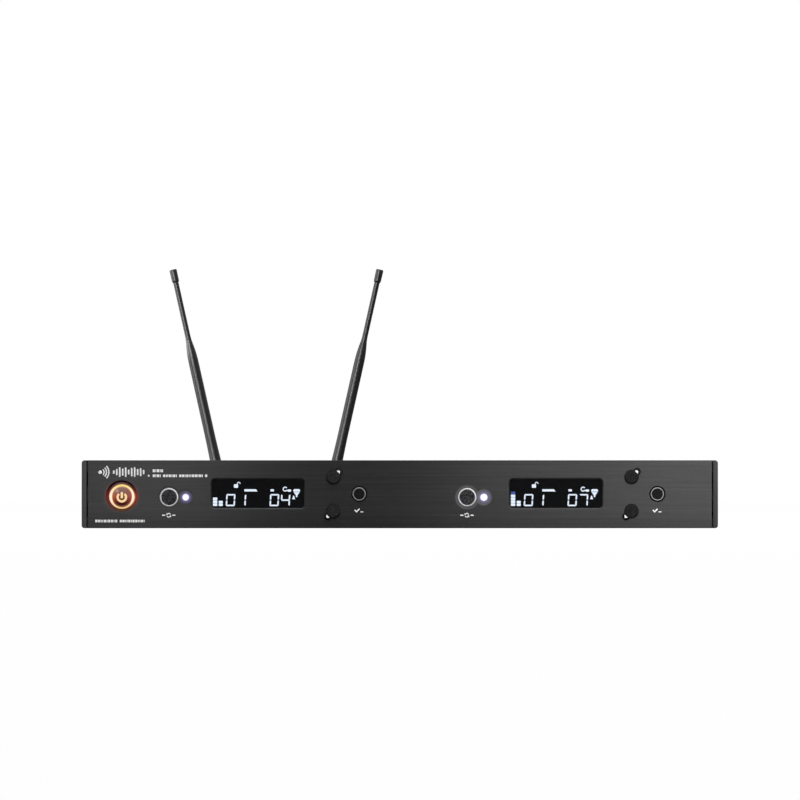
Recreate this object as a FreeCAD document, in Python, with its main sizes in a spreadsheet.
import FreeCAD, Part
import math
import os
import Sketcher
from FreeCAD import Placement, Rotation, Vector

# Dual-channel wireless microphone receiver in a one-unit metal case, with two
# swivelling whip aerials on the rear panel. All sizes are in millimetres.
# Frame: +Z up, +X to the right of someone facing the front panel, +Y to the rear.
# The origin is the centre of the base plate's underside.

DIMENSIONS = [
    # case
    ("case_width", 412.0, "overall width over the side rails"),
    ("case_depth", 210.0, "front plate face to rear panel face"),
    ("case_height", 44.0, "one rack unit less clearance"),
    ("rail_wall", 3.2, "visible thickness of a side rail"),
    ("shelf_width", 8.0, "rail shelf that the covers screw to"),
    ("shelf_height", 6.5, "rail shelf height"),
    ("rib_depth", 5.0, "middle rib that takes the rack ear screws"),
    ("rib_height", 10.0, "middle rib height"),
    ("rail_round", 1.5, "outer long edges of the rails"),
    ("sheet_thick", 1.2, "top and bottom covers"),
    ("cover_slack", 0.2, "side play of a cover between the rails"),
    ("plate_gap", 0.8, "shadow gap between front plate and rail"),
    ("plate_thick", 3.0, "front plate"),
    ("rear_thick", 1.5, "rear panel"),
    ("end_slack", 0.2, "play behind the front plate and before the rear panel"),
    ("rear_inset", 0.3, "rear panel edge below the covers"),
    ("bracket_thick", 1.5, "front bracket sheet"),
    ("bracket_leg", 7.5, "bracket leg along the front plate"),
    ("bracket_end", 18.0, "bracket end behind the front face"),
    ("bracket_half", 6.0, "half of the bracket height"),
    ("bracket_screw", 13.0, "bracket side screw behind the front face"),
    ("bracket_inset", 5.0, "bracket front screw inward of the rib"),
    # rack ear threads, M4
    ("ear_hole_rad", 1.65, "M4 tapping radius"),
    ("ear_first", 20.0, "first ear hole from the front face"),
    ("ear_pitch", 30.0, "ear hole pitch"),
    ("ear_lead", 0.35, "lead-in chamfer of the ear threads"),
    # screws
    ("tap_rad", 1.25, "M3 tapping radius"),
    ("clear_rad", 1.65, "M3 clearance radius"),
    ("cover_screw_y", 82.0, "end cover screws from the centre line"),
    ("csk_rad", 2.75, "countersunk head radius"),
    ("csk_depth", 1.1, "countersunk head depth"),
    ("screw_reach", 6.0, "screw shank length"),
    ("pan_rad", 2.2, "pan head radius of the small screws"),
    ("pan_high", 1.6, "pan head height of the small screws"),
    ("pan_hole", 1.2, "hole radius for the small screws"),
    ("pan_long", 3.3, "shank length of the small screws"),
    ("rear_head_rad", 2.8, "rear panel screw head radius"),
    ("rear_head_high", 1.9, "rear panel screw head height"),
    # front controls
    ("chan_pitch", 193.0, "channel one to channel two"),
    ("power_x", -180.1, "power button centre"),
    ("power_z", 20.8, "power button centre height"),
    ("power_hole", 9.1, "power button hole radius"),
    ("power_bevel", 0.9, "bevel round the power button hole"),
    ("power_ring_out", 8.6, "lit ring outer radius"),
    ("power_ring_in", 6.2, "lit ring inner radius"),
    ("sync_x", -149.4, "sync button centre, channel one"),
    ("sync_z", 20.0, "sync button and lamp centre height"),
    ("sync_ring_out", 6.05, "sync trim ring outer radius"),
    ("sync_ring_in", 4.95, "sync trim ring inner radius"),
    ("sync_rad", 4.85, "sync button radius"),
    ("lamp_step", 10.8, "sync button to lamp"),
    ("lamp_rad", 2.55, "lamp lens radius"),
    ("dish_rad", 7.15, "shallow recess round the sync button"),
    ("dish_lamp_rad", 5.1, "shallow recess round the lamp"),
    ("dish_deep", 0.3, "depth of that recess"),
    ("lcd_x", -91.9, "display centre, channel one"),
    ("lcd_z", 22.45, "display centre height"),
    ("lcd_width", 59.7, "display opening width"),
    ("lcd_height", 18.65, "display opening height"),
    ("lcd_corner", 2.0, "display opening corner radius"),
    ("lcd_bevel", 0.8, "bevel round the display opening"),
    ("lens_back", 0.9, "display lens face below the plate face"),
    ("lens_flange", 0.8, "display lens flange thickness"),
    ("edge_break", 0.25, "chamfer of the plate outline and set button holes"),
    ("key_x", -43.0, "up and down buttons, channel one"),
    ("up_z", 33.1, "up button height"),
    ("down_z", 11.1, "down button height"),
    ("key_rad", 4.6, "arrow button opening radius"),
    ("lobe_rad", 2.4, "arrow button lobe radius"),
    ("lobe_step", 3.5, "lobe offset in each direction"),
    ("key_round", 0.45, "arrow button face rounding"),
    ("set_x", -26.3, "set button centre, channel one"),
    ("set_z", 22.1, "set button centre height"),
    ("set_hole", 5.15, "set button hole radius"),
    ("set_ring_out", 4.45, "set ring outer radius"),
    ("set_ring_in", 3.35, "set ring inner radius"),
    ("key_gap", 0.15, "gap round a moving button"),
    ("collar_lip", 0.9, "retaining collar beyond a button's side"),
    ("collar_thick", 1.0, "retaining collar thickness"),
    ("collar_gap", 0.1, "collar behind the plate"),
    ("stem_rad", 1.7, "button stem radius"),
    ("key_proud", 1.0, "button face in front of the plate"),
    # boards
    ("fpcb_front", 12.0, "front board's front face behind the plate face"),
    ("pcb_thick", 1.6, "circuit board thickness"),
    ("tact_high", 3.5, "tact switch height"),
    ("tact_side", 6.2, "tact switch side"),
    ("post_step", 173.0, "front board post pitch"),
    ("post_mid", 10.0, "middle post"),
    ("post_high_z", 34.5, "upper posts"),
    ("post_low_z", 9.0, "lower posts"),
    ("hex_rad", 2.6, "front board post radius over the corners"),
    ("main_hex_rad", 3.0, "main board post radius over the corners"),
    ("post_bore", 1.05, "post thread radius"),
    ("post_bore_deep", 4.5, "post thread depth"),
    ("mpcb_z", 7.2, "main board underside"),
    # aerials
    ("aerial_z", 22.0, "aerial socket height"),
    ("aerial_a_x", -123.5, "aerial A"),
    ("aerial_b_x", -49.0, "aerial B"),
    ("lean", 12.6, "aerial lean from upright, degrees"),
    ("pivot_y", 27.0, "fold pin behind the rear panel face"),
    ("barrel_rad", 4.8, "socket barrel radius"),
    ("barrel_bore", 4.05, "socket barrel bore radius"),
    ("barrel_end", 11.5, "socket barrel end behind the panel face"),
    ("lug_span", 5.5, "bayonet lug tip from the axis"),
    ("lug_y", 6.8, "bayonet lugs behind the panel face"),
    ("lug_rad", 1.0, "bayonet lug radius"),
    ("coll_rad", 7.1, "coupling collar radius"),
    ("coll_start", 3.6, "coupling collar start"),
    ("coll_end", 16.0, "coupling collar end"),
    ("pin_rad", 1.25, "fold pin radius"),
    ("pin_run", 0.05, "running clearance round the fold pin"),
    ("ear_in", 2.6, "fork ear inner face"),
    ("ear_out", 5.4, "fork ear outer face"),
    ("ear_rad", 4.8, "fork ear end radius"),
    ("tongue_half", 2.45, "whip tongue half width"),
    ("tongue_rad", 4.6, "whip tongue end radius"),
    ("whip_end", 157.6, "end of the rod inside the tip cap"),
    ("rod_rad", 1.87, "upper rod radius"),
    ("cap_start", 151.6, "tip cap start"),
    ("cap_end", 160.9, "tip cap end"),
    ("cap_rad", 2.55, "tip cap radius"),
    # rear connectors
    ("out_pitch", 100.0, "channel one outputs to channel two outputs"),
    ("xlr_x", 5.0, "balanced output, channel one"),
    ("jack_x", 36.0, "unbalanced output, channel one"),
    ("level_x", 61.0, "output level switch, channel one"),
    ("out_z", 22.0, "output connector height"),
    ("xlr_hole", 12.0, "balanced connector panel hole radius"),
    ("xlr_bore", 9.4, "balanced connector shell bore radius"),
    ("xlr_flange", 1.8, "balanced connector flange thickness"),
    ("xlr_deep", 14.0, "balanced connector bore depth inside the panel face"),
    ("xlr_back", 17.0, "balanced connector shell length inside the panel face"),
    ("jack_bore", 3.3, "unbalanced socket bore radius"),
    ("jack_bush", 4.75, "unbalanced socket bush radius"),
    ("jack_proud", 3.6, "bush length outside the panel"),
    ("jack_deep", 26.4, "bore depth inside the panel face"),
    ("nut_rad", 7.6, "panel nut radius over the corners"),
    ("nut_thick", 2.4, "panel nut thickness"),
    ("washer_rad", 7.9, "washer radius under the unbalanced socket nut"),
    ("washer_thick", 0.4, "that washer's thickness"),
    ("dc_x", -176.0, "power inlet"),
    ("dc_z", 20.0, "power inlet height"),
    ("dc_hole", 4.1, "power inlet panel hole radius"),
    ("level_slot", 7.0, "slider slot width"),
    ("level_tall", 3.4, "slider slot height"),
    ("level_corner", 0.4, "slider slot corner radius"),
    ("level_travel", 1.5, "slider travel each way"),
    ("level_gap", 0.15, "gap round the slider"),
]


class Size:
    """A number together with its spreadsheet expression."""

    def __init__(self, value, text):
        self.value = float(value)
        self.text = text

    @staticmethod
    def of(item):
        return item if isinstance(item, Size) else Size(item, "(%r)" % float(item))

    def __add__(self, other):
        other = Size.of(other)
        return Size(self.value + other.value, "(%s + %s)" % (self.text, other.text))

    def __radd__(self, other):
        return Size.of(other) + self

    def __sub__(self, other):
        other = Size.of(other)
        return Size(self.value - other.value, "(%s - %s)" % (self.text, other.text))

    def __rsub__(self, other):
        return Size.of(other) - self

    def __mul__(self, other):
        other = Size.of(other)
        return Size(self.value * other.value, "(%s * %s)" % (self.text, other.text))

    def __rmul__(self, other):
        return Size.of(other) * self

    def __truediv__(self, other):
        other = Size.of(other)
        return Size(self.value / other.value, "(%s / %s)" % (self.text, other.text))

    def __neg__(self):
        return Size(-self.value, "(0 - %s)" % self.text)


class Dimensions:
    """Holds one Size per spreadsheet alias."""


doc = FreeCAD.newDocument("wireless_receiver")
sheet = doc.addObject("Spreadsheet::Sheet", "dims")
dim = Dimensions()
for row_number, (alias, value, note) in enumerate(DIMENSIONS, 1):
    sheet.set("A%d" % row_number, alias)
    sheet.set("B%d" % row_number, str(value))
    sheet.setAlias("B%d" % row_number, alias)
    sheet.set("C%d" % row_number, note)
    setattr(dim, alias, Size(value, "dims." + alias))
doc.recompute()


# ------------------------------------------------------------------ sketch outlines
def sizes(*values):
    return [Size.of(value) for value in values]


def ordered(one, other):
    return (one, other) if one.value < other.value else (other, one)


def flat(x, y):
    return Vector(Size.of(x).value, Size.of(y).value, 0)


def bind(sketch, kind, places, size):
    """Adds a constraint whose size comes from the sheet."""
    index = sketch.addConstraint(Sketcher.Constraint(kind, *places, size.value))
    sketch.setExpression("Constraints[%d]" % index, size.text)


def fix_point(sketch, item, end, x, y):
    """Fixes a point of an item; end is 1 for start, 2 for end, 3 for centre."""
    for size, kind, axis in ((x, "DistanceX", -2), (y, "DistanceY", -1)):
        if abs(size.value) < 1e-9:
            sketch.addConstraint(Sketcher.Constraint("PointOnObject", item, end, axis))
        else:
            bind(sketch, kind, (-1, 1, item, end), size)


def join(sketch, kind, *places):
    sketch.addConstraint(Sketcher.Constraint(kind, *places))


def circle_at(centre, radius):
    return Part.Circle(flat(*centre), Vector(0, 0, 1), Size.of(radius).value)


def add_line(sketch, start, end):
    return sketch.addGeometry(Part.LineSegment(flat(*start), flat(*end)), False)


def add_arc(sketch, centre, radius, start, end):
    """Adds an arc between two angles in radians."""
    return sketch.addGeometry(Part.ArcOfCircle(circle_at(centre, radius), start, end), False)


def add_loop(sketch, points):
    count = len(points)
    lines = [add_line(sketch, points[i], points[(i + 1) % count]) for i in range(count)]
    for i in range(count):
        join(sketch, "Coincident", lines[i], 2, lines[(i + 1) % count], 1)
    return lines


def square_up(sketch, i, line):
    join(sketch, "Horizontal" if i % 2 == 0 else "Vertical", line)


def draw_circle(sketch, x, y, radius):
    x, y, radius = sizes(x, y, radius)
    item = sketch.addGeometry(circle_at((x, y), radius), False)
    bind(sketch, "Radius", (item,), radius)
    fix_point(sketch, item, 3, x, y)


def draw_poly(sketch, points):
    points = [sizes(*point) for point in points]
    for line, point in zip(add_loop(sketch, points), points):
        fix_point(sketch, line, 1, *point)


def draw_box(sketch, x0, y0, x1, y1):
    """Rectangle from its lower left to its upper right corner."""
    x0, y0, x1, y1 = sizes(x0, y0, x1, y1)
    lines = add_loop(sketch, [(x0, y0), (x1, y0), (x1, y1), (x0, y1)])
    for i, line in enumerate(lines):
        square_up(sketch, i, line)
    fix_point(sketch, lines[0], 1, x0, y0)
    fix_point(sketch, lines[2], 1, x1, y1)


def draw_rounded(sketch, x, y, width, height, radius):
    """Rectangle with rounded corners about a centre."""
    x, y, width, height, radius = sizes(x, y, width, height, radius)
    x0, x1 = x - width / 2, x + width / 2
    y0, y1 = y - height / 2, y + height / 2
    left, right, low, high = x0 + radius, x1 - radius, y0 + radius, y1 - radius
    lines = [
        add_line(sketch, start, end) for start, end in (
            ((left, y0), (right, y0)), ((x1, low), (x1, high)),
            ((right, y1), (left, y1)), ((x0, high), (x0, low)))
    ]
    corners = [(right, low), (right, high), (left, high), (left, low)]
    arcs = [
        add_arc(sketch, corner, radius, (i - 1) * math.pi / 2, i * math.pi / 2)
        for i, corner in enumerate(corners)
    ]
    for i in range(4):
        join(sketch, "Tangent", lines[i], 2, arcs[i], 1)
        join(sketch, "Tangent", arcs[i], 2, lines[(i + 1) % 4], 1)
        square_up(sketch, i, lines[i])
    bind(sketch, "Radius", (arcs[0],), radius)
    for i in (1, 2, 3):
        join(sketch, "Equal", arcs[0], arcs[i])
    fix_point(sketch, arcs[3], 3, *corners[3])
    fix_point(sketch, arcs[1], 3, *corners[1])


def draw_twin(sketch, xa, ya, radius_a, xb, yb, radius_b):
    """Outline of two overlapping circles."""
    xa, ya, radius_a, xb, yb, radius_b = sizes(xa, ya, radius_a, xb, yb, radius_b)
    dx, dy = xb.value - xa.value, yb.value - ya.value
    apart = math.hypot(dx, dy)
    aim = math.atan2(dy, dx)
    # distance from the first centre to the line through both crossings
    chord = (radius_a.value**2 - radius_b.value**2 + apart**2) / (2 * apart)
    open_a = math.acos(chord / radius_a.value)
    open_b = math.acos((chord - apart) / radius_b.value)
    first = add_arc(sketch, (xa, ya), radius_a, aim + open_a, aim - open_a + 2 * math.pi)
    second = add_arc(sketch, (xb, yb), radius_b, aim - open_b, aim + open_b)
    join(sketch, "Coincident", first, 2, second, 1)
    join(sketch, "Coincident", second, 2, first, 1)
    bind(sketch, "Radius", (first,), radius_a)
    bind(sketch, "Radius", (second,), radius_b)
    fix_point(sketch, first, 3, xa, ya)
    fix_point(sketch, second, 3, xb, yb)


def draw_hex(sketch, x, y, radius):
    """Hexagon of given corner radius, flats facing up and down the sketch."""
    x, y, radius = sizes(x, y, radius)
    angles = [math.radians(degrees) for degrees in range(0, 360, 60)]
    draw_poly(sketch, [(x + radius * math.cos(a), y + radius * math.sin(a)) for a in angles])


DRAW = {"circle": draw_circle, "poly": draw_poly, "box": draw_box,
        "rounded": draw_rounded, "twin": draw_twin, "hex": draw_hex}


# ------------------------------------------------------------------ features
# direction of each origin plane's normal along the frame's axis
NORMAL = {"XY": 1, "XZ": -1, "YZ": 1}
OVER = 1.0  # overrun of a cut that goes right through
nodes = {}


def new_body(label, multi=False, node=True):
    """New body; multi allows separate solids, node marks it for export."""
    body = doc.addObject("PartDesign::Body", "B_" + label)
    body.Label = label
    if multi:
        body.AllowCompound = True
    if node:
        nodes[label] = body
    return body


def new_master(label, multi=False):
    return new_body(label, multi, node=False)


def place(item, x=0, y=0, z=0, axis=None, angle=0):
    """Puts an item by expressions; angle is in degrees about axis."""
    base = sizes(x, y, z)
    rotation = Rotation(Vector(*axis), Size.of(angle).value) if axis else Rotation()
    item.Placement = Placement(Vector(*(size.value for size in base)), rotation)
    for name, size in zip("xyz", base):
        item.setExpression("Placement.Base." + name, size.text)


def origin_plane(body, plane):
    return next(o for o in body.Origin.OriginFeatures if o.Role == plane + "_Plane")


def sketch_on(body, plane, offset, shapes):
    """Sketch on one of the body's origin planes, moved along the frame's axis."""
    sketch = body.newObject("Sketcher::SketchObject", "Sketch")
    sketch.AttachmentSupport = [(origin_plane(body, plane), "")]
    sketch.MapMode = "FlatFace"
    offset = Size.of(offset) * NORMAL[plane]
    sketch.AttachmentOffset = Placement(Vector(0, 0, offset.value), Rotation())
    sketch.setExpression("AttachmentOffset.Base.z", offset.text)
    for kind, *values in shapes:
        DRAW[kind](sketch, *values)
    return sketch


def extrude(body, kind, sketch, length):
    feature = body.newObject("PartDesign::" + kind, kind)
    feature.Profile = sketch
    feature.Length = length.value
    feature.setExpression("Length", length.text)
    return feature


def add(body, plane, shapes, low, high):
    """Pads the outlines between two coordinates along the plane's normal axis."""
    low, high = sizes(low, high)
    sketch = sketch_on(body, plane, low if NORMAL[plane] > 0 else high, shapes)
    extrude(body, "Pad", sketch, high - low)


def cut(body, plane, shapes, low, high):
    """Pockets the outlines between two coordinates; it has to remove material."""
    low, high = sizes(low, high)
    doc.recompute()
    before = body.Shape.Volume
    sketch = sketch_on(body, plane, high if NORMAL[plane] > 0 else low, shapes)
    pocket = extrude(body, "Pocket", sketch, high - low)
    doc.recompute()
    if not body.Shape.Volume < before - 1e-6:
        raise RuntimeError("pocket removed nothing in " + body.Label)
    return pocket


def cut_through(body, plane, shapes, low, high):
    return cut(body, plane, shapes, low - OVER, high + OVER)


def spin(body, plane, points):
    """Turned shape: (radius, height) points revolved round the sketch's upright axis."""
    sketch = sketch_on(body, plane, 0, [("poly", points)])
    turned = body.newObject("PartDesign::Revolution", "Turn")
    turned.Profile = sketch
    turned.ReferenceAxis = (sketch, ["V_Axis"])
    turned.Angle = 360.0


def dress(body, kind, size, pick):
    """Fillet or Chamfer on the edges that pick() chooses."""
    doc.recompute()
    tip = body.Tip
    names = ["Edge%d" % i for i, edge in enumerate(tip.Shape.Edges, 1) if pick(edge)]
    if not names:
        raise RuntimeError("no edges picked in " + body.Label)
    feature = body.newObject("PartDesign::" + kind, kind)
    feature.Base = (tip, names)
    size = Size.of(size)
    setting = "Radius" if kind == "Fillet" else "Size"
    setattr(feature, setting, size.value)
    feature.setExpression(setting, size.text)
    doc.recompute()


def pattern(body, kind, feature, count, **settings):
    doc.recompute()
    repeat = body.newObject("PartDesign::" + kind, kind)
    repeat.Originals = [feature]
    for name, setting in settings.items():
        setattr(repeat, name, setting)
    repeat.Occurrences = count
    body.Tip = repeat
    doc.recompute()


def row(body, pocket, count, length):
    """Repeats a pocket along its sketch's level axis."""
    pattern(body, "LinearPattern", pocket, count,
            Direction=(pocket.Profile[0], ["H_Axis"]), Length=length)


def lies_at(edge, axis, spot, slack=0.02):
    """True for an edge that lies wholly at one coordinate of an axis, X, Y or Z."""
    spot = Size.of(spot).value
    box = edge.BoundBox
    return (abs(getattr(box, axis + "Min") - spot) < slack
            and abs(getattr(box, axis + "Max") - spot) < slack)


def instances(label, master, spots):
    """Linked copies of one master as one piece; spots are the arguments of place()."""
    links = []
    for number, spot in enumerate(spots, 1):
        link = doc.addObject("App::Link", "L_%s_%d" % (label, number))
        link.setLink(master)
        link.LinkTransform = False
        place(link, *spot)
        links.append(link)
    group = doc.addObject("Part::Compound", "C_" + label)
    group.Links = links
    group.Label = label
    nodes[label] = group


# ------------------------------------------------------------------ shared positions
SIDES = (-1, 1)  # left, right
X_AXIS = (1, 0, 0)
Y_AXIS = (0, 1, 0)
TO_REAR = (X_AXIS, -90)  # turns a screw's head from +Z to +Y
CAN_REAR_Y = 20.0 + 46.0 / 2  # rear wall of the rear tuner can

half_width = dim.case_width / 2
front_y = -(dim.case_depth / 2)
back_y = dim.case_depth / 2
height = dim.case_height
sheet_thick = dim.sheet_thick
mid_z = height / 2
inner_x = half_width - dim.rail_wall
shelf_x = inner_x - dim.shelf_width
rib_x = inner_x - dim.rib_depth
plate_half = inner_x - dim.plate_gap
plate_back = front_y + dim.plate_thick
rear_in = back_y - dim.rear_thick
cover_front = plate_back + dim.end_slack
cover_back = rear_in - dim.end_slack
cover_half = inner_x - dim.cover_slack
bracket_back = plate_back + dim.bracket_thick
bracket_x = rib_x - dim.bracket_inset
bracket_screw_y = front_y + dim.bracket_screw

shelf_screw_x = inner_x - dim.shelf_width / 2
shelf_screw_z = (sheet_thick + dim.shelf_height / 2, height - sheet_thick - dim.shelf_height / 2)
cover_screw_y = (-dim.cover_screw_y, Size.of(0), dim.cover_screw_y)
cover_screws = [(s * shelf_screw_x, y) for s in SIDES for y in cover_screw_y]
rear_screws = [(s * shelf_screw_x, z) for s in SIDES for z in shelf_screw_z]

channels = [Size.of(0), dim.chan_pitch]
outputs = [Size.of(0), dim.out_pitch]
aerials = [dim.aerial_a_x, dim.aerial_b_x]
XLR_SCREWS = [(-9.5, 12.0), (9.5, -12.0)]  # x, z from the connector axis

# board stack along Y, and the main board's top
board_front = front_y + dim.fpcb_front
board_back = board_front + dim.pcb_thick
main_top = dim.mpcb_z + dim.pcb_thick
posts = [(dim.post_mid + step * dim.post_step, z)
         for step in (-1, 0, 1) for z in (dim.post_low_z, dim.post_high_z)]
main_posts = [(x, y) for x in (-170.0, -60.0, 60.0, 170.0) for y in (-70.0, 60.0)]

# retaining collars and stems of the buttons, along Y
collar_y = plate_back + dim.collar_gap
collar_end = collar_y + dim.collar_thick
tact_face = board_front - dim.tact_high
stem_end = tact_face + 1.3
key_face = front_y - dim.key_proud


# ------------------------------------------------------------------ case
def side_rail(label, s):
    """Extruded rail: outer wall, a shelf for each cover and a middle rib."""
    body = new_body(label)
    shelf_low, shelf_high = sheet_thick + dim.shelf_height, height - sheet_thick - dim.shelf_height
    rib_low, rib_high = mid_z - dim.rib_height / 2, mid_z + dim.rib_height / 2
    section = [
        (half_width, 0), (inner_x, 0), (inner_x, sheet_thick), (shelf_x, sheet_thick),
        (shelf_x, shelf_low), (inner_x, shelf_low), (inner_x, rib_low), (rib_x, rib_low),
        (rib_x, rib_high), (inner_x, rib_high), (inner_x, shelf_high), (shelf_x, shelf_high),
        (shelf_x, height - sheet_thick), (inner_x, height - sheet_thick),
        (inner_x, height), (half_width, height),
    ]
    add(body, "XZ", [("poly", [(s * x, z) for x, z in section])], front_y, back_y)
    outer_x = s * half_width
    dress(body, "Fillet", dim.rail_round,
          lambda e: lies_at(e, "X", outer_x, 0.01) and e.BoundBox.YLength > 100)
    # shelves and rib end behind the front plate and before the rear panel
    x0, x1 = ordered(s * inner_x, s * (shelf_x - OVER))
    full_height = [("box", x0, -OVER, x1, height + OVER)]
    cut(body, "XZ", full_height, front_y - OVER, cover_front)
    cut(body, "XZ", full_height, cover_back, back_y + OVER)
    # rib set back for the front bracket
    cut(body, "XZ", [("box", x0, rib_low - OVER, x1, rib_high + OVER)],
        front_y - OVER, bracket_back + 0.3)
    # rack ear threads through wall and rib, bracket thread in the rib
    ear_y = front_y + dim.ear_first
    cut(body, "YZ", [("circle", y, mid_z, dim.ear_hole_rad)
                     for y in (ear_y, ear_y + dim.ear_pitch)],
        *ordered(s * (half_width + OVER), s * (rib_x - OVER)))
    cut(body, "YZ", [("circle", bracket_screw_y, mid_z, dim.pan_hole)],
        *ordered(s * (inner_x - 0.5), s * (rib_x - OVER)))
    # cover screw threads through both shelves
    cut(body, "XY", [("circle", s * shelf_screw_x, y, dim.tap_rad) for y in cover_screw_y],
        sheet_thick - 0.5, height - sheet_thick + 0.5)
    # rear panel screw threads in the ends of both shelves
    cut(body, "XZ", [("circle", s * shelf_screw_x, z, dim.tap_rad) for z in shelf_screw_z],
        cover_back - 9.0, back_y + OVER)
    # lead-in on the outer face of the ear threads
    dress(body, "Chamfer", dim.ear_lead,
          lambda e: lies_at(e, "X", outer_x, 0.01) and e.BoundBox.YLength < 4)


def cover(label, low, high, outer_z):
    """Flat sheet cover with countersunk holes and two fields of slots."""
    body = new_body(label)
    add(body, "XY", [("box", -cover_half, cover_front, cover_half, cover_back)], low, high)
    cut_through(body, "XY", [("circle", x, y, dim.clear_rad) for x, y in cover_screws], low, high)
    dress(body, "Chamfer", dim.csk_depth, lambda e: lies_at(e, "Z", outer_z)
          and abs(e.BoundBox.XLength - 2 * dim.clear_rad.value) < 0.1)
    # first slot of the left and of the right field
    slots = [("rounded", x, 46.0, 2.4, 26.0, 1.1) for x in (-150.0, 95.0)]
    row(body, cut_through(body, "XY", slots, low, high), count=12, length=60.5)


def front_panel():
    body = new_body("front_panel")
    add(body, "XZ", [("box", -plate_half, 0, plate_half, height)], front_y, plate_back)
    dishes = [("twin", dim.sync_x + c, dim.sync_z, dim.dish_rad,
               dim.sync_x + c + dim.lamp_step, dim.sync_z, dim.dish_lamp_rad)
              for c in channels]
    cut(body, "XZ", dishes, front_y - OVER, front_y + dim.dish_deep)
    holes = [("circle", dim.power_x, dim.power_z, dim.power_hole)]
    for c in channels:
        key_x = dim.key_x + c
        holes += [
            ("circle", dim.sync_x + c, dim.sync_z, dim.sync_ring_out),
            ("circle", dim.sync_x + c + dim.lamp_step, dim.sync_z, dim.lamp_rad),
            ("rounded", dim.lcd_x + c, dim.lcd_z, dim.lcd_width, dim.lcd_height,
             dim.lcd_corner),
            ("twin", key_x, dim.up_z, dim.key_rad,
             key_x + dim.lobe_step, dim.up_z + dim.lobe_step, dim.lobe_rad),
            ("twin", key_x, dim.down_z, dim.key_rad,
             key_x - dim.lobe_step, dim.down_z - dim.lobe_step, dim.lobe_rad),
            ("circle", dim.set_x + c, dim.set_z, dim.set_hole),
        ]
    cut_through(body, "XZ", holes, front_y, plate_back)
    # blind threads for the board posts and the front brackets
    cut(body, "XZ", [("circle", x, z, 1.0) for x, z in posts]
        + [("circle", s * bracket_x, mid_z, dim.pan_hole) for s in SIDES],
        plate_back - 2.0, plate_back + OVER)

    def near_channel(edge, x, reach):
        return any(abs(edge.CenterOfMass.x - (x + c).value) < reach for c in channels)

    dress(body, "Chamfer", dim.lcd_bevel, lambda e: lies_at(e, "Y", front_y)
          and near_channel(e, dim.lcd_x, dim.lcd_width.value / 2 + 0.5)
          and abs(e.CenterOfMass.z - dim.lcd_z.value) < dim.lcd_height.value / 2 + 0.5)
    dress(body, "Chamfer", dim.power_bevel, lambda e: lies_at(e, "Y", front_y)
          and abs(e.BoundBox.XLength - 2 * dim.power_hole.value) < 0.1
          and abs(e.CenterOfMass.x - dim.power_x.value) < 0.5)
    # outline of the plate and the set button holes
    dress(body, "Chamfer", dim.edge_break, lambda e: lies_at(e, "Y", front_y)
          and (e.BoundBox.XLength > 300 or e.BoundBox.ZLength > 40
               or near_channel(e, dim.set_x, 1) and e.BoundBox.XLength < 11))


def level_slots():
    return [("rounded", dim.level_x + c, dim.out_z, dim.level_slot, dim.level_tall,
             dim.level_corner) for c in outputs]


def rear_panel():
    body = new_body("rear_panel")
    add(body, "XZ", [("box", -plate_half, dim.rear_inset, plate_half, height - dim.rear_inset)],
        rear_in, back_y)
    holes = [("circle", x, z, dim.clear_rad) for x, z in rear_screws]
    holes += [("circle", x, dim.aerial_z, dim.barrel_rad) for x in aerials]
    for c in outputs:
        holes += [("circle", dim.xlr_x + c, dim.out_z, dim.xlr_hole)]
        holes += [("circle", dim.xlr_x + c + dx, dim.out_z + dz, dim.clear_rad)
                  for dx, dz in XLR_SCREWS]
        holes += [("circle", dim.jack_x + c, dim.out_z, dim.jack_bush)]
    holes += level_slots()
    holes += [("circle", dim.dc_x, dim.dc_z, dim.dc_hole)]
    cut_through(body, "XZ", holes, rear_in, back_y)
    # upright slots between aerial B and the first output
    slot = cut_through(body, "XZ", [("rounded", -32.0, 22.0, 2.0, 22.0, 0.9)], rear_in, back_y)
    row(body, slot, count=6, length=17.5)


def front_brackets():
    """Angle at each end that ties the front plate to the rail's rib."""
    body = new_body("front_brackets", multi=True)
    leg_x, wall_x = rib_x - dim.bracket_leg, rib_x - dim.bracket_thick
    end_y = front_y + dim.bracket_end
    angle = [(rib_x, plate_back), (leg_x, plate_back), (leg_x, bracket_back),
             (wall_x, bracket_back), (wall_x, end_y), (rib_x, end_y)]
    for s in SIDES:
        add(body, "XY", [("poly", [(s * x, y) for x, y in angle])],
            mid_z - dim.bracket_half, mid_z + dim.bracket_half)
    cut_through(body, "XZ", [("circle", s * bracket_x, mid_z, dim.pan_hole) for s in SIDES],
                plate_back, bracket_back)
    for s in SIDES:
        cut(body, "YZ", [("circle", bracket_screw_y, mid_z, dim.pan_hole)],
            *ordered(s * (rib_x + OVER), s * (rib_x - 3.0)))


side_rail("side_rail_left", -1)
side_rail("side_rail_right", 1)
cover("top_cover", height - sheet_thick, height, outer_z=height)
cover("bottom_cover", Size.of(0), sheet_thick, outer_z=0)
front_panel()
rear_panel()
front_brackets()


# ------------------------------------------------------------------ fasteners
def screw_master(label, profile, top, arm, slot_half, deep):
    """Turned screw along Z with a cross recess in its head; z is 0 at the seat."""
    body = new_master(label)
    spin(body, "XZ", profile)
    a, w = arm, slot_half
    cross = [(-a, -w), (-w, -w), (-w, -a), (w, -a), (w, -w), (a, -w),
             (a, w), (w, w), (w, a), (-w, a), (-w, w), (-a, w)]
    cut(body, "XY", [("poly", cross)], top - deep, top + 0.5)
    return body


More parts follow.
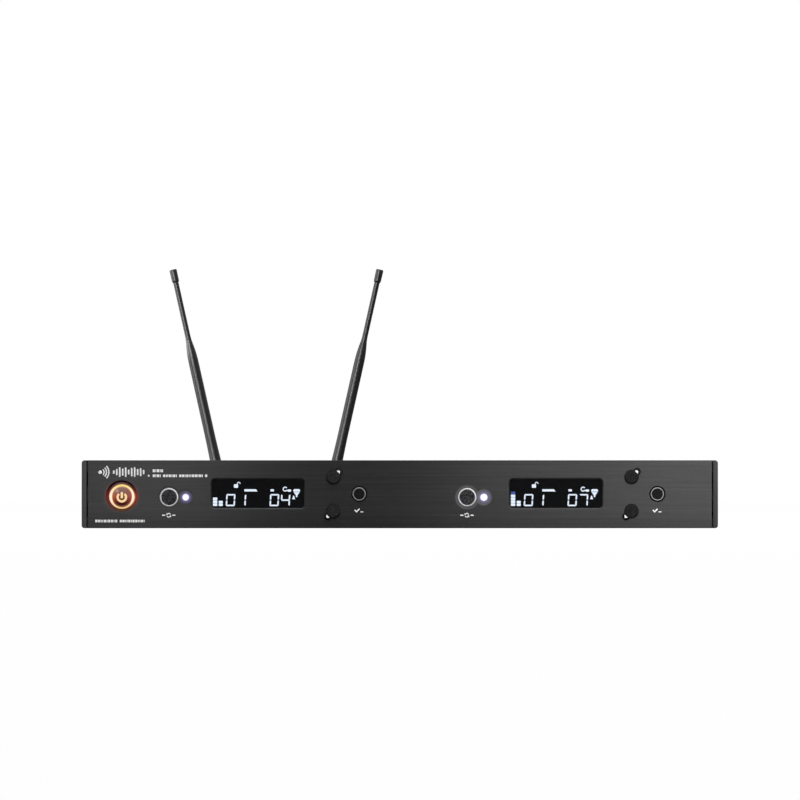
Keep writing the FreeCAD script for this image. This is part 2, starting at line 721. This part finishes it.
def cover_screws_piece():
    shank, reach = dim.tap_rad, dim.screw_reach
    master = screw_master("countersunk_screw_master", [
        (0, 0), (dim.csk_rad, 0), (dim.csk_rad - dim.csk_depth, -dim.csk_depth),
        (shank, -dim.csk_depth), (shank, -(reach - 0.4)), (shank - 0.4, -reach), (0, -reach),
    ], top=0, arm=1.5, slot_half=0.35, deep=1.0)
    instances("cover_screws", master,
              [(x, y, height) for x, y in cover_screws]
              + [(x, y, 0, X_AXIS, 180) for x, y in cover_screws])


def small_screws():
    head, top, shank = dim.pan_rad, dim.pan_high, dim.pan_hole - 0.2
    master = screw_master("pan_screw_master", [
        (0, top), (head - 0.9, top), (head - 0.25, top - 0.45), (head, top - 1.05),
        (head, 0), (shank, 0), (shank, -dim.pan_long), (0, -dim.pan_long),
    ], top, arm=1.2, slot_half=0.28, deep=0.9)
    instances("board_and_bracket_screws", master,
              [(x, board_back, z, *TO_REAR) for x, z in posts]
              + [(x, y, main_top) for x, y in main_posts]
              + [(s * bracket_x, bracket_back, mid_z, *TO_REAR) for s in SIDES]
              + [(s * (rib_x - dim.bracket_thick), bracket_screw_y, mid_z, Y_AXIS, -s * 90)
                 for s in SIDES])


def panel_screws():
    """Rear panel screws, and the same screw in the balanced connectors."""
    head, top, shank = dim.rear_head_rad, dim.rear_head_high, dim.tap_rad - 0.05
    master = screw_master("rear_screw_master", [
        (0, top), (head - 1.2, top), (head - 0.4, top - 0.4), (head, top - 1.1),
        (head, 0), (shank, 0), (shank, -dim.screw_reach), (0, -dim.screw_reach),
    ], top, arm=1.6, slot_half=0.38, deep=1.1)
    instances("rear_panel_screws", master, [(x, back_y, z, *TO_REAR) for x, z in rear_screws])
    instances("xlr_screws", master,
              [(dim.xlr_x + c + dx, back_y + dim.xlr_flange, dim.out_z + dz, *TO_REAR)
               for c in outputs for dx, dz in XLR_SCREWS])


cover_screws_piece()
small_screws()
panel_screws()


# ------------------------------------------------------------------ front controls
def at_front(*points):
    """Turns (radius, distance behind the plate face) points into (radius, y)."""
    return [(radius, front_y + y) for radius, y in points]


def collar_and_stem(side, lip):
    """Rear end of a turned button: retaining collar, then the stem."""
    return [(side, collar_y), (side + lip, collar_y), (side + lip, collar_end),
            (dim.stem_rad, collar_end), (dim.stem_rad, stem_end), (0, stem_end)]


def turned_at(label, x, z, points):
    """Turned piece about a line along Y through (x, z); points are (radius, y)."""
    body = new_body(label)
    spin(body, "XY", points)
    place(body, x, 0, z)


def power_button():
    """Centre cap with its stem, the lit ring that grips it, and the switch behind."""
    outer, inner = dim.power_ring_out, dim.power_ring_in
    stem, cap_end = 2.5, board_front - 4.2
    turned_at("power_button_cap", dim.power_x, dim.power_z, at_front(
        (0, -1.05), (inner * 0.25, -1.01), (inner * 0.5, -0.9), (inner * 0.75, -0.7),
        (inner - 0.3, -0.48), (inner, -0.3),
    ) + [(inner, collar_end), (stem, collar_end), (stem, cap_end), (0, cap_end)])
    flange = outer + dim.collar_lip + 0.3
    turned_at("power_button_ring", dim.power_x, dim.power_z, at_front(
        (inner, -0.3), (inner + 0.15, -0.95), (inner + 0.55, -1.25), (inner + 1.2, -1.35),
        (outer - 0.55, -1.2), (outer - 0.12, -0.75), (outer, -0.2),
    ) + [(outer, collar_y), (flange, collar_y), (flange, collar_end), (inner, collar_end)])
    body = new_body("power_switch")
    switch_front = board_front - 6.5
    add(body, "XZ", [("rounded", dim.power_x, dim.power_z, 13.0, 13.0, 1.0)],
        switch_front, board_front)
    cut(body, "XZ", [("circle", dim.power_x, dim.power_z, stem + 0.2)],
        switch_front - OVER, board_front - 2.0)


def sync_rings():
    master = new_master("sync_ring_master")
    outer, inner = dim.sync_ring_out, dim.sync_ring_in
    spin(master, "XY", at_front(
        (inner, 0.1), (inner + 0.2, -0.15), (inner + 0.45, -0.25),
        (outer - 0.45, -0.25), (outer - 0.2, -0.15), (outer, 0.1),
    ) + [(outer, plate_back), (inner, plate_back)])
    instances("sync_rings", master, [(dim.sync_x + c, 0, dim.sync_z) for c in channels])


def sync_lamps():
    master = new_master("lamp_master")
    rad, guide = dim.lamp_rad, 1.5
    spin(master, "XY", at_front(
        (0, -0.55), (0.9, -0.5), (1.6, -0.33), (rad - 0.35, 0.0), (rad - 0.05, 0.4),
    ) + [(rad - 0.05, plate_back), (rad + 0.5, plate_back), (rad + 0.5, collar_end),
         (guide, collar_end), (guide, board_front), (0, board_front)])
    instances("sync_lamps", master,
              [(dim.sync_x + dim.lamp_step + c, 0, dim.sync_z) for c in channels])


def sync_button(number, shift):
    rad = dim.sync_rad
    turned_at("sync_button_%d" % number, dim.sync_x + shift, dim.sync_z, at_front(
        (0, -0.55), (rad - 0.5, -0.55), (rad - 0.15, -0.4), (rad, -0.1),
    ) + collar_and_stem(rad, lip=1.7))


def arrow_button(label, x, z, s):
    """Disc with a small round lobe up and right (s = 1) or down and left (s = -1)."""
    body = new_body(label)
    add(body, "XZ", [("twin", x, z, dim.key_rad - dim.key_gap, x + s * dim.lobe_step,
                      z + s * dim.lobe_step, dim.lobe_rad - dim.key_gap)], key_face, collar_y)
    add(body, "XZ", [("circle", x, z, dim.key_rad + dim.collar_lip)], collar_y, collar_end)
    add(body, "XZ", [("circle", x, z, dim.stem_rad)], collar_end, stem_end)
    dress(body, "Fillet", dim.key_round, lambda e: lies_at(e, "Y", key_face))


def set_button(number, x):
    """Set button and the trim ring seated in a step round its face."""
    outer, inner, seat = dim.set_ring_out, dim.set_ring_in, 0.6
    turned_at("set_button_%d" % number, x, dim.set_z, at_front(
        (0, -0.6), (inner - 0.45, -0.6), (inner - 0.12, -0.45), (inner, -0.15),
        (inner, seat), (outer, seat),
    ) + collar_and_stem(outer, lip=1.6))
    turned_at("set_ring_%d" % number, x, dim.set_z, at_front(
        (inner, -0.3), (inner + 0.15, -0.65), (inner + 0.4, -0.8), (outer - 0.4, -0.8),
        (outer - 0.12, -0.6), (outer, -0.25), (outer, seat), (inner, seat)))


def display_windows():
    body = new_body("display_windows", multi=True)
    # lens with play in its opening, then a flange behind the plate
    add(body, "XZ", [("rounded", dim.lcd_x + c, dim.lcd_z, dim.lcd_width - 0.2,
                      dim.lcd_height - 0.2, dim.lcd_corner - 0.1) for c in channels],
        front_y + dim.lens_back, plate_back)
    add(body, "XZ", [("rounded", dim.lcd_x + c, dim.lcd_z, dim.lcd_width + 3.6,
                      dim.lcd_height + 3.6, dim.lcd_corner) for c in channels],
        plate_back, plate_back + dim.lens_flange)


def display_modules():
    body = new_body("display_modules", multi=True)
    module_back = board_front - 1.6
    add(body, "XZ", [("rounded", dim.lcd_x + c, dim.lcd_z, dim.lcd_width + 4.3,
                      dim.lcd_height + 5.2, 0.8) for c in channels],
        plate_back + dim.lens_flange, module_back)
    # pegs down to the board
    add(body, "XZ", [("circle", dim.lcd_x + c + dx, dim.lcd_z + dz, 0.8) for c in channels
                     for dx in (-28.0, -9.3, 9.3, 28.0) for dz in (-10.5, 10.5)],
        module_back, board_front)


def tact_switches():
    keys = [(x + c, z) for c in channels for x, z in (
        (dim.sync_x, dim.sync_z), (dim.key_x, dim.up_z),
        (dim.key_x, dim.down_z), (dim.set_x, dim.set_z))]
    body = new_body("tact_switches", multi=True)
    add(body, "XZ", [("rounded", x, z, dim.tact_side, dim.tact_side, 0.6) for x, z in keys],
        tact_face, board_front)
    cut(body, "XZ", [("circle", x, z, dim.stem_rad + 0.12) for x, z in keys],
        tact_face - OVER, tact_face + 2.8)


power_button()
sync_rings()
sync_lamps()
for number, shift in enumerate(channels, 1):
    sync_button(number, shift)
    arrow_button("up_button_%d" % number, dim.key_x + shift, dim.up_z, 1)
    arrow_button("down_button_%d" % number, dim.key_x + shift, dim.down_z, -1)
    set_button(number, dim.set_x + shift)
display_windows()
display_modules()
tact_switches()


# ------------------------------------------------------------------ boards
TUNER_CANS = [(-86.0, 20.0), (-86.0, -40.0)]  # centre x, y
# centre x, y, width, depth
CHIPS = [(20.0, -20.0, 14.0, 14.0), (60.0, -20.0, 10.0, 10.0), (20.0, 30.0, 10.0, 8.0),
         (120.0, -20.0, 14.0, 14.0), (120.0, 30.0, 10.0, 8.0), (-150.0, -20.0, 10.0, 12.0)]
# centre x, y, radius
CAPACITORS = [(-160.0, 30.0, 5.0), (-146.0, 30.0, 5.0), (40.0, 5.0, 4.0), (52.0, 5.0, 4.0),
              (140.0, 5.0, 4.0), (152.0, 5.0, 4.0), (-160.0, 14.0, 4.0), (90.0, -50.0, 5.0)]
# side view of the ribbon: y behind the front board, z above the main board
RIBBON = [(0.0, 9.0), (4.0, 9.0), (10.0, 8.2), (15.0, 6.4), (18.4, 3.8), (19.6, 0.0),
          (20.6, 0.0), (19.4, 4.3), (15.7, 7.2), (10.3, 9.1), (4.2, 10.0), (0.0, 10.0)]


def front_board():
    body = new_body("front_board")
    add(body, "XZ", [("rounded", 0.0, 22.0, 380.0, 34.0, 2.0)], board_front, board_back)
    cut_through(body, "XZ", [("circle", x, z, dim.pan_hole) for x, z in posts],
                board_front, board_back)


def board_posts():
    """Hexagonal posts of both boards; the front ones have a spigot in the plate."""
    body = new_body("board_posts", multi=True)
    add(body, "XZ", [("hex", x, z, dim.hex_rad) for x, z in posts], plate_back, board_front)
    add(body, "XZ", [("circle", x, z, 0.95) for x, z in posts], plate_back - 1.9, plate_back)
    add(body, "XY", [("hex", x, y, dim.main_hex_rad) for x, y in main_posts],
        sheet_thick, dim.mpcb_z)
    cut(body, "XZ", [("circle", x, z, dim.post_bore) for x, z in posts],
        board_front - dim.post_bore_deep, board_front + OVER)
    cut(body, "XY", [("circle", x, y, dim.post_bore) for x, y in main_posts],
        dim.mpcb_z - dim.post_bore_deep, dim.mpcb_z + OVER)


def main_board():
    body = new_body("main_board")
    add(body, "XY", [("rounded", 0.0, 8.0, 372.0, 172.0, 2.0)], dim.mpcb_z, main_top)
    cut_through(body, "XY", [("circle", x, y, dim.pan_hole) for x, y in main_posts],
                dim.mpcb_z, main_top)


def tuner_shields():
    """Sheet metal cans, open below."""
    body = new_body("tuner_shields", multi=True)
    wall, tall = 0.4, 12.0
    add(body, "XY", [("rounded", x, y, 82.0, 46.0, 1.0) for x, y in TUNER_CANS],
        main_top, main_top + tall)
    cut(body, "XY", [("rounded", x, y, 82.0 - 2 * wall, 46.0 - 2 * wall, 1.0 - wall)
                     for x, y in TUNER_CANS], main_top - OVER, main_top + tall - wall)


def chip_packages():
    body = new_body("chip_packages", multi=True)
    add(body, "XY", [("box", x - width / 2, y - depth / 2, x + width / 2, y + depth / 2)
                     for x, y, width, depth in CHIPS], main_top, main_top + 1.8)


def capacitors():
    body = new_body("capacitors", multi=True)
    top = main_top + 12.0
    add(body, "XY", [("circle", *spot) for spot in CAPACITORS], main_top, top)
    dress(body, "Fillet", 0.6, lambda e: lies_at(e, "Z", top))


def ribbon_cable():
    """Flat strip from the main board, bent up to the front board."""
    body = new_body("ribbon_cable")
    middle, half = 10.0, 16.0
    add(body, "YZ", [("poly", [(board_back + y, main_top + z) for y, z in RIBBON])],
        middle - half, middle + half)


front_board()
board_posts()
main_board()
tuner_shields()
chip_packages()
capacitors()
ribbon_cable()


# ------------------------------------------------------------------ aerial sockets
LEAD_START = -12.0  # rear end of the coax lead, from the rear panel face
aerial_spots = [(x, back_y, dim.aerial_z) for x in aerials]


def aerial_sockets():
    master = new_master("aerial_socket_master")
    rad, bore, end = dim.barrel_rad, dim.barrel_bore, dim.barrel_end
    seat = -dim.rear_thick
    spin(master, "XY", [
        (0, LEAD_START), (1.0, LEAD_START), (1.0, -9.0), (3.4, -9.0), (3.4, seat - 2.0),
        (7.0, seat - 2.0), (7.0, seat), (rad, seat), (rad, end - 0.3), (rad - 0.3, end),
        (bore + 0.25, end), (bore, end - 0.3), (bore, 3.0), (2.3, 3.0), (2.3, end - 2.2),
        (0.7, end - 2.2), (0.7, 3.5), (0, 3.5)])
    for s in SIDES:
        add(master, "YZ", [("circle", dim.lug_y, 0, dim.lug_rad)],
            *ordered(s * (bore + 0.3), s * dim.lug_span))
    instances("aerial_sockets", master, aerial_spots)


def aerial_nuts():
    master = new_master("aerial_nut_master")
    add(master, "XZ", [("hex", 0, 0, dim.nut_rad)], 0, dim.nut_thick)
    cut_through(master, "XZ", [("circle", 0, 0, dim.barrel_rad)], 0, dim.nut_thick)
    dress(master, "Chamfer", 0.3, lambda e: lies_at(e, "Y", dim.nut_thick)
          and e.BoundBox.XLength < 8 and len(e.Vertexes) == 2)
    instances("aerial_socket_nuts", master, aerial_spots)


def coax_leads():
    """Leads from the sockets, dropping in an S bend to the rear tuner can's rear wall."""
    master = new_master("coax_lead_master")
    bend, drop, bend_start = 8.0, 7.0, -26.0
    turn = math.acos(1 - drop / (2 * bend))
    bend_end = bend_start - 2 * bend * math.sin(turn)
    path = master.newObject("Sketcher::SketchObject", "CoaxPath")
    path.AttachmentSupport = [(origin_plane(master, "YZ"), "")]
    path.MapMode = "FlatFace"
    up = math.pi / 2
    add_line(path, (LEAD_START, 0), (bend_start, 0))
    add_arc(path, (bend_start, -bend), bend, up, up + turn)
    add_arc(path, (bend_end, bend - drop), bend, -up, -up + turn)
    add_line(path, (bend_end, -drop), (CAN_REAR_Y - back_y, -drop))
    join(path, "Coincident", 0, 2, 1, 1)
    join(path, "Coincident", 1, 2, 2, 2)
    join(path, "Coincident", 2, 1, 3, 1)
    section = sketch_on(master, "XZ", LEAD_START, [("circle", 0, 0, 1.2)])
    pipe = master.newObject("PartDesign::AdditivePipe", "CoaxPipe")
    pipe.Profile = section
    pipe.Spine = (path, ["Edge1", "Edge2", "Edge3", "Edge4"])
    doc.recompute()
    instances("coax_leads", master, aerial_spots)


aerial_sockets()
aerial_nuts()
coax_leads()

# ------------------------------------------------------------------ aerials
# radius, distance from the fold pin: moulded sleeve, long body and taper to the rod
WHIP_PROFILE = [
    (0, 8.3), (4.5, 8.3), (4.85, 8.7), (4.85, 12.2), (4.55, 12.6), (4.3, 13.6),
    (4.12, 16.0), (3.98, 20.0), (3.84, 25.0), (3.72, 30.0), (3.62, 35.0), (3.56, 40.0),
    (3.54, 60.0), (3.52, 80.0), (3.5, 92.0), (3.49, 94.7), (3.45, 97.0), (3.36, 99.0),
    (3.22, 101.0), (3.04, 102.8), (2.82, 104.6), (2.58, 106.4), (2.34, 108.0),
    (2.12, 109.5), (1.98, 110.8), (1.9, 112.2),
]


def place_at_pin(body, x, angle):
    place(body, x, back_y + dim.pivot_y, dim.aerial_z, Y_AXIS, angle)


def coupling_collar(side, x):
    """Collar with entry slots for the lugs and a fluted grip."""
    body = new_body("coupling_collar_" + side)
    start, end, rad = dim.coll_start, dim.coll_end, dim.coll_rad
    mouth, chamber = dim.barrel_rad + 0.15, dim.lug_span + 0.15
    spin(body, "XY", [
        (mouth, start), (rad - 0.5, start), (rad, start + 0.5), (rad, start + 1.6),
        (rad - 0.35, start + 2.0), (rad - 0.35, start + 2.6), (rad, start + 3.0),
        (rad, end - 1.2), (rad - 0.9, end), (3.5, end), (3.5, end - 1.6),
        (chamber, end - 1.6), (chamber, start + 1.5), (mouth, start + 1.5)])
    slot_x, slot_half = dim.lug_span + 0.2, 1.25
    cut(body, "XZ", [("box", -slot_x, -slot_half, slot_x, slot_half)], start - OVER, start + 2.0)
    flute = cut(body, "XZ", [("circle", rad + 0.45, 0, 0.72)], start + 3.2, end - 1.4)
    pattern(body, "PolarPattern", flute, 24, Axis=(flute.Profile[0], ["N_Axis"]), Angle=360.0)
    place(body, x, back_y, dim.aerial_z, Y_AXIS, 90)


def aerial_plug(side, x):
    """Contact sleeve inside the socket, and a flange held by the collar."""
    body = new_body("aerial_plug_" + side)
    sleeve, sleeve_in, flange, neck = dim.barrel_bore - 0.1, 2.65, 5.45, 3.3
    end, flange_end, neck_end = dim.barrel_end, dim.coll_end - 1.8, dim.pivot_y - 8.6
    spin(body, "XY", [
        (sleeve_in, 4.0), (sleeve, 4.0), (sleeve, end + 0.2), (flange, end + 0.2),
        (flange, flange_end), (neck, flange_end), (neck, neck_end), (0, neck_end),
        (0, end + 0.2), (0.55, end + 0.2), (0.55, 6.0), (0.6, 6.0), (0.6, end + 0.1),
        (sleeve_in, end + 0.1)])
    place(body, x, back_y, dim.aerial_z)


def aerial_fork(side, x, lean):
    """Round hub with two ears that hold the pin; its origin is on the fold pin."""
    body = new_body("aerial_fork_" + side)
    hub_start, hub_end = dim.coll_end + 0.4 - dim.pivot_y, Size.of(-6.4)
    spin(body, "XY", [
        (3.3, hub_start), (5.6, hub_start), (6.2, hub_start + 0.6), (6.2, hub_end - 0.6),
        (5.6, hub_end), (0, hub_end), (0, -8.6), (3.3, -8.6)])
    rad = dim.ear_rad
    for s in SIDES:
        span = ordered(s * dim.ear_in, s * dim.ear_out)
        add(body, "YZ", [("box", hub_end - 0.9, -rad, 0.0, rad)], *span)
        add(body, "YZ", [("circle", 0, 0, rad)], *span)
    cut(body, "YZ", [("circle", 0, 0, dim.pin_rad)], -7.0, 7.0)
    # rounded ends of the ears' outer faces
    dress(body, "Fillet", 0.6,
          lambda e: abs(abs(e.CenterOfMass.x) - dim.ear_out.value) < 0.01
          and e.BoundBox.XLength < 0.01 and e.BoundBox.YMax > rad.value - 0.1
          and e.BoundBox.ZLength > 3 * dim.pin_rad.value)
    place_at_pin(body, x, lean)


def fold_pin(side, x, lean):
    body = new_body("fold_pin_" + side)
    rad, tip, end = dim.pin_rad, dim.pin_rad - 0.25, dim.ear_out
    spin(body, "XZ", [(0, -end - 0.3), (tip, -end - 0.3), (rad, -end),
                      (rad, end), (tip, end + 0.3), (0, end + 0.3)])
    place_at_pin(body, x, lean + 90)


def whip(side, x, lean):
    """Sleeve, taper and rod in one, with the tongue at its foot."""
    body = new_body("whip_" + side)
    spin(body, "XZ", WHIP_PROFILE + [
        (dim.rod_rad, 113.8), (dim.rod_rad, dim.whip_end), (0, dim.whip_end)])
    half = dim.tongue_half
    add(body, "YZ", [("box", -3.9, 0.0, 3.9, 9.0)], -half, half)
    add(body, "YZ", [("circle", 0, 0, dim.tongue_rad)], -half, half)
    cut_through(body, "YZ", [("circle", 0, 0, dim.pin_rad + dim.pin_run)], -half, half)
    place_at_pin(body, x, lean)


def tip_cap(side, x, lean):
    body = new_body("tip_cap_" + side)
    start, end, rad = dim.cap_start, dim.cap_end, dim.cap_rad
    spin(body, "XZ", [
        (dim.rod_rad, start), (rad - 0.55, start), (rad - 0.12, start + 0.8),
        (rad - 0.05, start + 1.2), (rad, start + 5.0), (rad + 0.02, end - 0.5),
        (rad - 0.12, end - 0.15), (rad - 0.45, end), (0, end), (0, dim.whip_end),
        (dim.rod_rad, dim.whip_end)])
    place_at_pin(body, x, lean)


for side, x, lean in (("left", dim.aerial_a_x, -dim.lean), ("right", dim.aerial_b_x, dim.lean)):
    coupling_collar(side, x)
    aerial_plug(side, x)
    aerial_fork(side, x, lean)
    fold_pin(side, x, lean)
    whip(side, x, lean)
    tip_cap(side, x, lean)

# ------------------------------------------------------------------ outputs
XLR_CONTACTS = [(-3.8, 2.2), (3.8, 2.2), (0.0, -4.4)]  # x, z from the connector axis
xlr_spots = [(dim.xlr_x + c, back_y, dim.out_z) for c in outputs]
jack_spots = [(dim.jack_x + c, back_y, dim.out_z) for c in outputs]


def is_flange_outline(edge):
    """Sides and corner arcs of the balanced connector's flange."""
    box, centre = edge.BoundBox, edge.CenterOfMass
    return (box.XLength > 19 and box.ZLength < 0.1
            or box.ZLength > 24 and box.XLength < 0.1
            or abs(abs(centre.x) - 12.1) < 0.4 and abs(abs(centre.z) - 14.6) < 0.5)


def xlr_shells():
    master = new_master("xlr_shell_master")
    flange, bore, floor = dim.xlr_flange, dim.xlr_bore, -dim.xlr_deep
    add(master, "XZ", [("rounded", 0, 0, 26.0, 31.0, 3.0)], 0, flange)
    add(master, "XZ", [("circle", 0, 0, dim.xlr_hole - 0.1)], -dim.xlr_back, 0)
    add(master, "XZ", [("circle", 0, 0, dim.xlr_hole - 0.4)], flange, flange + 0.8)
    cut(master, "XZ", [("circle", 0, 0, bore)], floor, 4.0)
    cut(master, "XZ", [("circle", x, z, dim.clear_rad) for x, z in XLR_SCREWS], -OVER, 3.0)
    # key along the top of the bore
    add(master, "XZ", [("box", -1.2, bore - 1.2, 1.2, bore + 0.6)], floor, flange)
    dress(master, "Fillet", 0.5, lambda e: lies_at(e, "Y", flange) and is_flange_outline(e))
    instances("xlr_shells", master, xlr_spots)


def xlr_contacts():
    """Round-ended pins in the bore and tails behind the shell."""
    master = new_master("xlr_contact_master", multi=True)
    pin_tip = -2.5
    add(master, "XZ", [("circle", x, z, 1.2) for x, z in XLR_CONTACTS], -dim.xlr_deep, pin_tip)
    dress(master, "Fillet", 0.8, lambda e: lies_at(e, "Y", pin_tip))
    add(master, "XZ", [("circle", x, z, 0.9) for x, z in XLR_CONTACTS], -22.0, -dim.xlr_back)
    instances("xlr_contacts", master, xlr_spots)


def jack_sockets():
    master = new_master("jack_socket_master")
    add(master, "XZ", [("circle", 0, 0, dim.jack_bush)], -dim.rear_thick, dim.jack_proud)
    add(master, "XZ", [("rounded", 0, 0, 16.0, 18.0, 1.2)],
        -(dim.jack_deep + 2.0), -dim.rear_thick)
    cut(master, "XZ", [("circle", 0, 0, dim.jack_bore)], -dim.jack_deep, dim.jack_proud + OVER)
    dress(master, "Chamfer", 0.3, lambda e: lies_at(e, "Y", dim.jack_proud))
    instances("jack_sockets", master, jack_spots)


def jack_nuts():
    """Nut and the washer under it, in one."""
    master = new_master("jack_nut_master")
    top = dim.washer_thick + dim.nut_thick
    add(master, "XZ", [("hex", 0, 0, dim.nut_rad)], dim.washer_thick, top)
    add(master, "XZ", [("circle", 0, 0, dim.washer_rad)], 0, dim.washer_thick)
    cut_through(master, "XZ", [("circle", 0, 0, dim.jack_bush)], 0, top)
    instances("jack_nuts", master, jack_spots)


def power_inlet():
    body = new_body("power_inlet")
    x, z = dim.dc_x, dim.dc_z
    add(body, "XZ", [("rounded", x, z, 11.0, 12.0, 0.8)], rear_in - 13.0, rear_in)
    add(body, "XZ", [("circle", x, z, dim.dc_hole - 0.1)], rear_in, back_y + 0.6)
    cut(body, "XZ", [("circle", x, z, 2.9)], back_y - 9.0, back_y + 2.0)
    # centre pin
    add(body, "XZ", [("circle", x, z, 1.05)], back_y - 9.5, back_y - 0.6)


def level_switches():
    body = new_body("level_switches", multi=True)
    add(body, "XZ", [("rounded", dim.level_x + c, dim.out_z, 15.0, 8.0, 0.5) for c in outputs],
        rear_in - 7.0, rear_in)
    cut(body, "XZ", level_slots(), rear_in - 4.0, rear_in + OVER)


def level_slider(number, shift):
    """Slider at the low-X end of its travel, with upright grooves in its face."""
    body = new_body("level_slider_%d" % number)
    x, z = dim.level_x + shift - dim.level_travel, dim.out_z
    half = (dim.level_slot - 2 * dim.level_travel - 2 * dim.level_gap) / 2
    half_tall = dim.level_tall / 2 - dim.level_gap
    add(body, "XZ", [("box", x - half, z - half_tall, x + half, z + half_tall)],
        rear_in - 3.8, back_y - 0.3)
    groove = cut(body, "XZ", [("box", x - 1.35, z - 3.0, x - 1.0, z + 3.0)],
                 back_y - 0.8, back_y + 0.5)
    row(body, groove, count=4, length=2.35)


xlr_shells()
xlr_contacts()
jack_sockets()
jack_nuts()
power_inlet()
level_switches()
for number, shift in enumerate(outputs, 1):
    level_slider(number, shift)

# ------------------------------------------------------------------ write
doc.recompute()
failed = [(item.Name, item.Label, item.State) for item in doc.Objects
          if "Invalid" in item.State or "Error" in item.State]
if failed:
    raise RuntimeError("failed objects: %r" % failed)
for label, item in nodes.items():
    shape = item.Shape
    if shape.isNull() or not shape.isValid() or not shape.Solids:
        raise RuntimeError("bad shape: " + label)
    if any(solid.Volume <= 0 for solid in shape.Solids):
        raise RuntimeError("bad solid: " + label)

os.makedirs("parts", exist_ok=True)
for label, item in nodes.items():
    item.Shape.exportStep(os.path.join("parts", label + ".step"))
